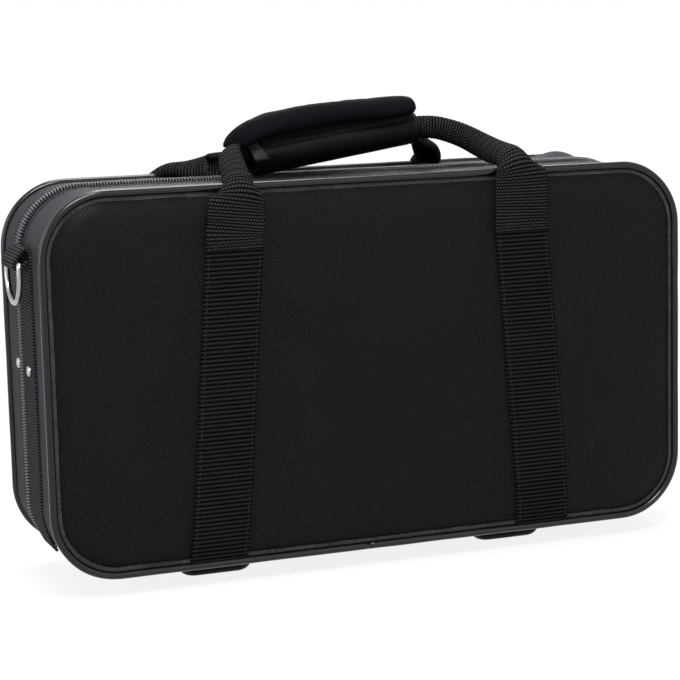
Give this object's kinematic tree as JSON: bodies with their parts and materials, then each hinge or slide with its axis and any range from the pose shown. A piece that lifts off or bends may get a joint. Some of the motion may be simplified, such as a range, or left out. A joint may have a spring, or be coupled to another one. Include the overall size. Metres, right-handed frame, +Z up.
{
  "type": "clarinet case",
  "caption": "Soft-sided zip-up instrument case standing on its spine, with a padded carrying grip, webbing handles, shoulder strap rings and a fitted foam inside.",
  "frame": {"origin": "on the ground under the middle of the case", "axes": "+X along the case to the right as seen from the front panel, -Y out of the front panel, +Z up"},
  "size_m": [0.3704, 0.1008, 0.2445],
  "materials": {
    "panel_fabric": "coated plain weave polyester, low sheen",
    "band_fabric": "coated plain weave polyester, low sheen",
    "piping": "satin bead",
    "foam_board": "foam on board",
    "plush": "short pile",
    "insert_plush": "short pile over foam",
    "zip_tape": "woven tape",
    "zip_chain": "nylon coil, satin",
    "foot_rubber": "smooth satin",
    "rivet_metal": "plated steel",
    "webbing": "ribbed polypropylene webbing",
    "ribbon": "woven ribbon",
    "ring_metal": "plated steel wire",
    "slider_metal": "black enamel",
    "grip_fabric": "smooth padded neoprene cloth",
    "loop_tape": "fuzzy loop pile",
    "hook_tape": "hook tape"
  },
  "bodies": {
    "base": {"base_foot_left": "foot_rubber", "base_foot_right": "foot_rubber", "base_foot_rivets": "rivet_metal", "base_lining": "plush", "base_shell": "foam_board", "base_side_band": "band_fabric", "base_spine": "band_fabric", "base_stay_rivets": "rivet_metal", "base_zip_chain": "zip_chain", "base_zip_tape": "zip_tape", "foam_insert": "insert_plush", "front_panel": "panel_fabric", "front_piping": "piping", "front_strap_left": "webbing", "front_strap_right": "webbing", "left_end_webbing": "webbing", "left_stay_ribbon": "ribbon", "right_end_webbing": "webbing", "right_stay_ribbon": "ribbon"},
    "lid": {"lid_foot_left": "foot_rubber", "lid_foot_right": "foot_rubber", "lid_foot_rivets": "rivet_metal", "lid_lining": "plush", "lid_pad": "plush", "lid_shell": "foam_board", "lid_side_band": "band_fabric", "lid_spine": "band_fabric", "lid_stay_rivets": "rivet_metal", "lid_zip_chain": "zip_chain", "lid_zip_tape": "zip_tape", "rear_panel": "panel_fabric", "rear_piping": "piping", "rear_strap_left": "webbing", "rear_strap_right": "webbing"},
    "front_handle": {"front_handle_left": "webbing", "front_handle_right": "webbing", "grip_core": "webbing", "grip_sleeve": "grip_fabric", "loop_tape": "loop_tape"},
    "rear_handle": {"rear_handle": "webbing"},
    "grip_flap": {"grip_flap": "grip_fabric", "hook_tape": "hook_tape"},
    "left_ring": {"left_d_ring": "ring_metal"},
    "right_ring": {"right_d_ring": "ring_metal"},
    "zip_slider": {"zip_slider": "slider_metal"},
    "zip_pull": {"zip_pull": "slider_metal"}
  },
  "joints": [
    {"name": "lid_hinge", "type": "hinge", "parent": "base", "child": "lid", "pos_m": [0, 0.009, 0.012], "axis": [-1, 0, 0], "range_deg": [0, 95], "deforming": ["left_stay_ribbon", "right_stay_ribbon"]},
    {"name": "front_handle_fold", "type": "hinge", "parent": "base", "child": "front_handle", "pos_m": [0, -0.0499, 0.178], "axis": [1, 0, 0], "range_deg": [0, 165]},
    {"name": "rear_handle_fold", "type": "hinge", "parent": "lid", "child": "rear_handle", "pos_m": [0, 0.0499, 0.178], "axis": [-1, 0, 0], "range_deg": [0, 165]},
    {"name": "flap_open", "type": "hinge", "parent": "front_handle", "child": "grip_flap", "pos_m": [-0.05319, 0.01289, 0.22363], "axis": [-0.9914, 0, -0.1308], "range_deg": [0, 115]},
    {"name": "left_ring_swing", "type": "hinge", "parent": "base", "child": "left_ring", "pos_m": [-0.182, -0.009, 0.169], "axis": [0, 1, 0], "range_deg": [-8, 150]},
    {"name": "right_ring_swing", "type": "hinge", "parent": "base", "child": "right_ring", "pos_m": [0.182, -0.009, 0.169], "axis": [0, -1, 0], "range_deg": [-8, 150]},
    {"name": "zip_slide", "type": "slide", "parent": "base", "child": "zip_slider", "axis": [0, 0, 1], "range_m": [0, 0.096]},
    {"name": "pull_swing", "type": "hinge", "parent": "zip_slider", "child": "zip_pull", "pos_m": [0.1799, 0.009, 0.062], "axis": [0, -1, 0], "range_deg": [0, 150]}
  ]
}
